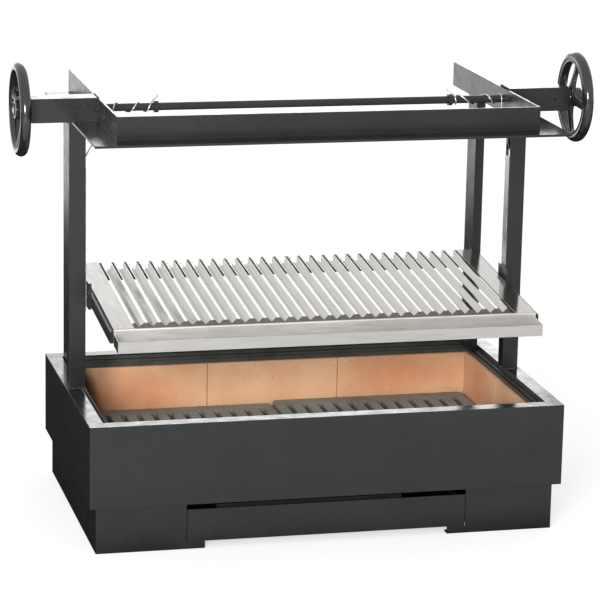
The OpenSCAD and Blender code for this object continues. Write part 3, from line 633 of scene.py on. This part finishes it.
# Where the spokes start, from the shaft's axis, and how far short of the rim's middle they end
SPOKE_START = 0.012
SPOKE_SHORT = 0.006
WHEEL_LOW, WHEEL_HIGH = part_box("handwheel_right")
WASHER_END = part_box("wheel_washers")[1].x


def turned_ring(profile, segments):
    """Closed profile of (x, r) points turned round the X axis."""
    vertices = []
    for i in range(segments):
        angle = 2 * math.pi * i / segments
        vertices += [Vector((x, r * math.cos(angle), r * math.sin(angle))) for x, r in profile]
    return vertices, bridge_rings(segments, len(profile), closed=True)


def oval(x, r, half_x, half_r, start, end, count):
    """Points of an oval arc in the (x, r) plane, angles in degrees."""
    turns = [math.radians(start + (end - start) * k / (count - 1)) for k in range(count)]
    return [(x + half_x * math.cos(t), r + half_r * math.sin(t)) for t in turns]


def flared(sizes, t):
    """A size along a spoke, with t from 0 at the hub to 1 at the rim."""
    middle, at_hub, at_rim = sizes
    return middle + at_hub * (1 - t) ** 4 + at_rim * t ** 8


def spoke(angle, hub_x, rim_x, rim_r):
    """A flattened spoke that flares into the hub and the rim."""
    rows, sides = 40, 28
    vertices = []
    for i in range(rows):
        t = i / (rows - 1)
        reach = SPOKE_START + t * (rim_r - SPOKE_SHORT - SPOKE_START)
        x = hub_x + (rim_x - hub_x) * t * t * (3 - 2 * t)
        wide = flared(SPOKE_WIDE, t)
        thick = flared(SPOKE_THICK, t)
        for k in range(sides):
            around = 2 * math.pi * k / sides
            vertices.append(Vector((x + thick * math.cos(around), wide * math.sin(around), reach)))
    turn = Matrix.Rotation(math.radians(-angle), 3, "X") @ Matrix.Rotation(math.radians(90), 3, "X")
    return [turn @ v for v in vertices], bridge_rings(rows, sides)


def merged(parts):
    vertices, faces = [], []
    for part_vertices, part_faces in parts:
        start = len(vertices)
        vertices += part_vertices
        faces += [tuple(start + k for k in face) for face in part_faces]
    return vertices, faces


def handwheel(s, side):
    """Oval rim with an inner lip, a cupped hub and four spokes, all one moulding."""
    rim_x = WHEEL_HIGH.x - RIM_X
    rim_r = (WHEEL_HIGH.z - WHEEL_LOW.z) / 2 - RIM_R
    lip_x = rim_x - RIM_X + LIP_X
    lip_r = rim_r - RIM_R + 0.0006
    crease = (lip_x - 0.0026, lip_r + 0.0052)
    rim = oval(rim_x, rim_r, RIM_X, RIM_R, -105, 186, 44) + [crease]
    rim += oval(lip_x, lip_r, LIP_X, LIP_R, 128, 285, 12)

    hub_x = WHEEL_LOW.x
    hub_end = hub_x + HUB_LEN
    cup_x = WASHER_END - 0.002
    outer, inner = HUB_OUTER_ROUND, HUB_INNER_ROUND
    hub = oval(hub_end - outer, HUB_R - outer, outer, outer, 0, 90, 8)
    hub += oval(hub_x + inner, HUB_R - inner, inner, inner, 90, 180, 8)
    hub += [(hub_x, BORE_R), (cup_x, BORE_R), (cup_x, HUB_CUP_R),
        (hub_end - HUB_CUP_CHAMFER, HUB_CUP_R), (hub_end, HUB_CUP_R + HUB_CUP_CHAMFER)]

    parts = [turned_ring(rim, 128), turned_ring(hub, 64)]
    parts += [spoke(angle, hub_x + 0.010, rim_x - 0.001, rim_r) for angle in SPOKE_ANGLES]
    vertices, faces = merged(parts)
    if s < 0:
        faces = [tuple(reversed(face)) for face in faces]
    place = Vector((0, SHAFT_Y, SHAFT_Z))
    vertices = [Vector((s * v.x, v.y, v.z)) + place for v in vertices]
    wheel = add_piece("moulded_wheel_" + side, vertices, faces, BLACK, "windlass")
    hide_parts("handwheel_" + side)


# Welds

BEAD_R = 0.0016
BEAD_SIDES = 12
BEAD_STEP = 0.0005
RIPPLE_LEN = 0.0024
DROP_MIN_R = 0.0004
DROP_MORE_R = 0.0007


def bead(name, corners, seed):
    """A weld bead along straight runs, with the ripples that the electrode leaves."""
    def ripple(distance, angle):
        swell = 1 + 0.16 * math.sin(2 * math.pi * distance / RIPPLE_LEN)
        wander = 1 + 0.25 * noise.noise(Vector((distance * 90, seed, math.cos(angle))))
        return BEAD_R * swell * wander

    path = resample([Vector(corner) for corner in corners], BEAD_STEP)
    add_piece(name, sweep(path, BEAD_SIDES, ripple), bridge_rings(len(path), BEAD_SIDES), PAINT, "frame")


def spatter(name, centre, spread, count):
    """Small balls of weld metal that stuck to the sheet round a weld."""
    vertices, faces = [], []
    for _ in range(count):
        offset = Vector([half * (noise.random() * 2 - 1) for half in spread])
        size = DROP_MIN_R + DROP_MORE_R * noise.random() ** 2
        ball = bmesh.new()
        bmesh.ops.create_icosphere(ball, subdivisions=2, radius=size)
        start = len(vertices)
        vertices += [v.co + Vector(centre) + offset for v in ball.verts]
        faces += [tuple(start + v.index for v in f.verts) for f in ball.faces]
        ball.free()
    add_piece(name, vertices, faces, PAINT, "frame")


def welds():
    noise.seed_set(4)
    post_low, post_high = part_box("guide_post_right")
    rear_low, rear_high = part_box("rear_upright_right")
    tube_low, tube_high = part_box("shaft_housing_right")
    foot = [(post_low.x, post_low.y), (post_high.x, post_low.y), (post_high.x, post_high.y),
        (post_low.x, post_high.y)]
    ring = [(tube_low.y, tube_high.z), (tube_low.y, tube_low.z), (tube_high.y, tube_low.z),
        (tube_high.y, tube_high.z), (tube_low.y, tube_high.z)]
    head = [(rear_low.x, rear_low.y), (rear_high.x, rear_low.y)]
    for s, side in SIDES:
        bead("post_foot_weld_" + side, [(s * x, y, RIM_Z) for x, y in foot], s)
        bead("post_head_weld_" + side, [(s * x, y, post_high.z) for x, y in foot], s + 3)
        bead("tube_weld_" + side, [(s * tube_low.x, y, z) for y, z in ring], s + 6)
        # Kept off the side of the post where the charcoal grate lifts out
        spatter("post_foot_spatter_" + side, (s * (post_low.x + 0.008), post_low.y - 0.006, RIM_Z),
            (0.013, 0.010, 0.0004), 26)
        spatter("tube_spatter_" + side, (s * (tube_low.x + 0.001), tube_low.y - 0.008, tube_low.z + 0.006),
            (0.0004, 0.006, 0.016), 16)
        bead("rear_head_weld_" + side, [(s * x, y, rear_high.z) for x, y in head], s + 9)


# Bent and cut edges of the sheet, bars and bricks

def soften(names, width, segments=2):
    """Rounded edges on a CAD piece, made by modifiers alone."""
    for name in names:
        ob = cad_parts[name]
        weld = ob.modifiers.new("weld", "WELD")
        weld.merge_threshold = 0.00002
        edges = ob.modifiers.new("edges", "BEVEL")
        edges.width = width
        edges.segments = segments
        edges.limit_method = "ANGLE"
        edges.angle_limit = math.radians(35)
        edges.harden_normals = True


def soften_edges():
    sheets = ("firebox_shell", "plinth", "drawer_front", "brick_retaining_frame", "top_rail_front",
        "top_rail_left", "top_rail_right")
    tubes = ("shaft_housing_left", "shaft_housing_right", "guide_post_left", "guide_post_right",
        "rear_upright_left", "rear_upright_right", "arm_left", "arm_right", "rear_cross_tube")
    soften(sheets, 0.0007)
    soften(tubes, 0.0013, 3)
    soften(BRICK_NODES, 0.0018)
    soften(GRATE_NODES, 0.0016, 3)
    soften(("grease_tray", *BORDER_NODES), 0.0005)


ropes()
for direction, hand in SIDES:
    handwheel(direction, hand)
welds()
soften_edges()


# Studio, with places in metres, powers in watts and the roll in degrees

FLOOR_HALF = 30
WORLD_LIGHT = 0.95
MIDDLE = (0, 0, 0.5)
KEY = {"place": (-2.4, -5.1, 1.85), "target": MIDDLE, "size": (1.5, 1.3), "power": 330}
# Behind the object, for the reflections in the top faces of its frame
BACK = {"place": (1.45, 6.0, 2.08), "target": (1.45, 0, 2.08), "size": (2.5, 0.9), "power": 25, "roll": 12}


def area_light(name, place, target, size, power, roll=0):
    """A rectangular light at place that faces target, turned by roll degrees round its own axis."""
    data = bpy.data.lights.new(name, "AREA")
    data.shape = "RECTANGLE"
    data.size, data.size_y = size
    data.energy = power
    ob = bpy.data.objects.new(name, data)
    bpy.context.scene.collection.objects.link(ob)
    ob.location = place
    ob.rotation_euler = (Vector(target) - Vector(place)).to_track_quat("-Z", "Y").to_euler()
    ob.rotation_euler.rotate_axis("Z", math.radians(roll))


def studio():
    mesh = bpy.data.meshes.new("floor")
    half = FLOOR_HALF
    corners = [(-half, -half, 0), (half, -half, 0), (half, half, 0), (-half, half, 0)]
    mesh.from_pydata(corners, [], [(0, 1, 2, 3)])
    floor = bpy.data.objects.new("floor", mesh)
    bpy.context.scene.collection.objects.link(floor)
    floor.data.materials.append(paper_floor())
    world = bpy.data.worlds.new("studio")
    world.use_nodes = True
    background = world.node_tree.nodes["Background"]
    background.inputs["Color"].default_value = (1, 1, 1, 1)
    background.inputs["Strength"].default_value = WORLD_LIGHT
    bpy.context.scene.world = world
    area_light("key", **KEY)
    area_light("back", **BACK)


# The photograph's camera, solved from the object's own straight lines. The lens and sensor are in
# millimetres, the shifts are shares of the picture, and the last three are the camera's own axes.
CAMERA_PLACE = (-1.3944, -5.6225, 1.8566)
LENS = 167.5
SENSOR = 36
SHIFT = (0.062, -0.003)
CLIP_END = 100
CAMERA_RIGHT = Vector((0.97427, -0.22479, 0.01644))
CAMERA_UP = Vector((0.0378, 0.23487, 0.97129))
CAMERA_BACK = Vector((-0.2222, -0.94568, 0.23732))


def camera():
    data = bpy.data.cameras.new("camera")
    data.sensor_width = SENSOR
    data.lens = LENS
    data.shift_x, data.shift_y = SHIFT
    data.clip_end = CLIP_END
    ob = bpy.data.objects.new("camera", data)
    bpy.context.scene.collection.objects.link(ob)
    turn = Matrix((CAMERA_RIGHT, CAMERA_UP, CAMERA_BACK)).transposed().to_4x4()
    ob.matrix_world = Matrix.Translation(CAMERA_PLACE) @ turn
    bpy.context.scene.camera = ob


studio()
camera()
bpy.context.scene.view_settings.view_transform = "Standard"
